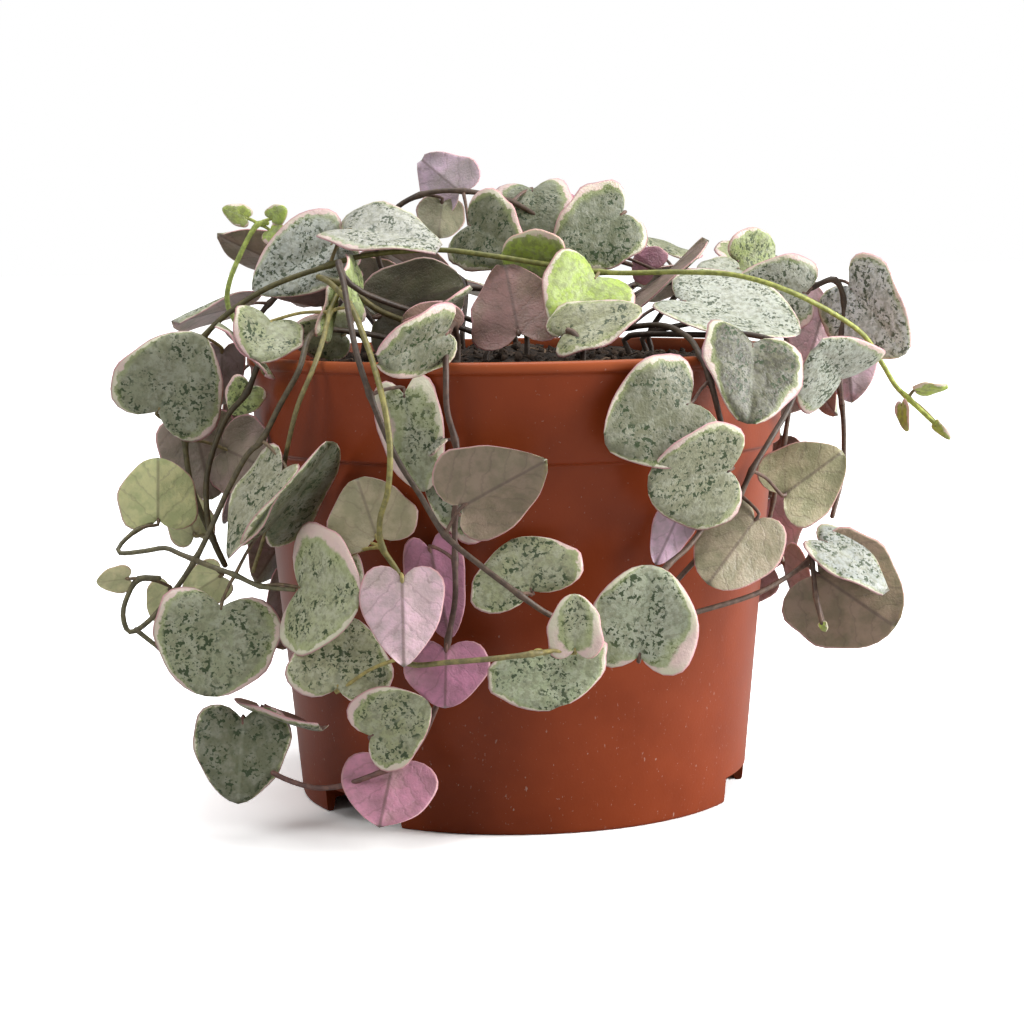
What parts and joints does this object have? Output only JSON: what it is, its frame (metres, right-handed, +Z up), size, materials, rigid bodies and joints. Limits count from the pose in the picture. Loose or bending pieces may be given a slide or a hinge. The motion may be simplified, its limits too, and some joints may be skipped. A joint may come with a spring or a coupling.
{
  "type": "string of hearts in a nursery pot",
  "caption": "Potted string of hearts: thin tapered plastic nursery pot, soil, and slender vines with small mottled heart-shaped leaves that trail over the rim and hang down the sides",
  "frame": {"origin": "on the pot's axis, on the surface it stands on", "axes": "+Z up along the pot's axis; -Y towards the viewer of the picture"},
  "size_m": [0.1634, 0.1422, 0.126],
  "materials": {
    "pot_plastic": "satin",
    "soil": "rough",
    "leaf": "satin",
    "young_stem": "satin"
  },
  "bodies": {
    "root": {"pot": "pot_plastic", "soil": "soil", "vine_arch": "leaf", "vine_back_1": "leaf", "vine_back_2": "leaf", "vine_back_3": "leaf", "vine_back_4": "leaf", "vine_back_5": "leaf", "vine_back_6": "leaf", "vine_back_7": "leaf", "vine_centre": "leaf", "vine_crown": "leaf", "vine_crown_right": "leaf", "vine_front": "leaf", "vine_hook": "leaf", "vine_pink": "leaf", "vine_right_inner": "leaf", "vine_right_node": "leaf", "vine_right_outer": "leaf", "vine_swag": "leaf", "vine_yellow": "leaf", "vine_young": "young_stem"}
  },
  "joints": []
}
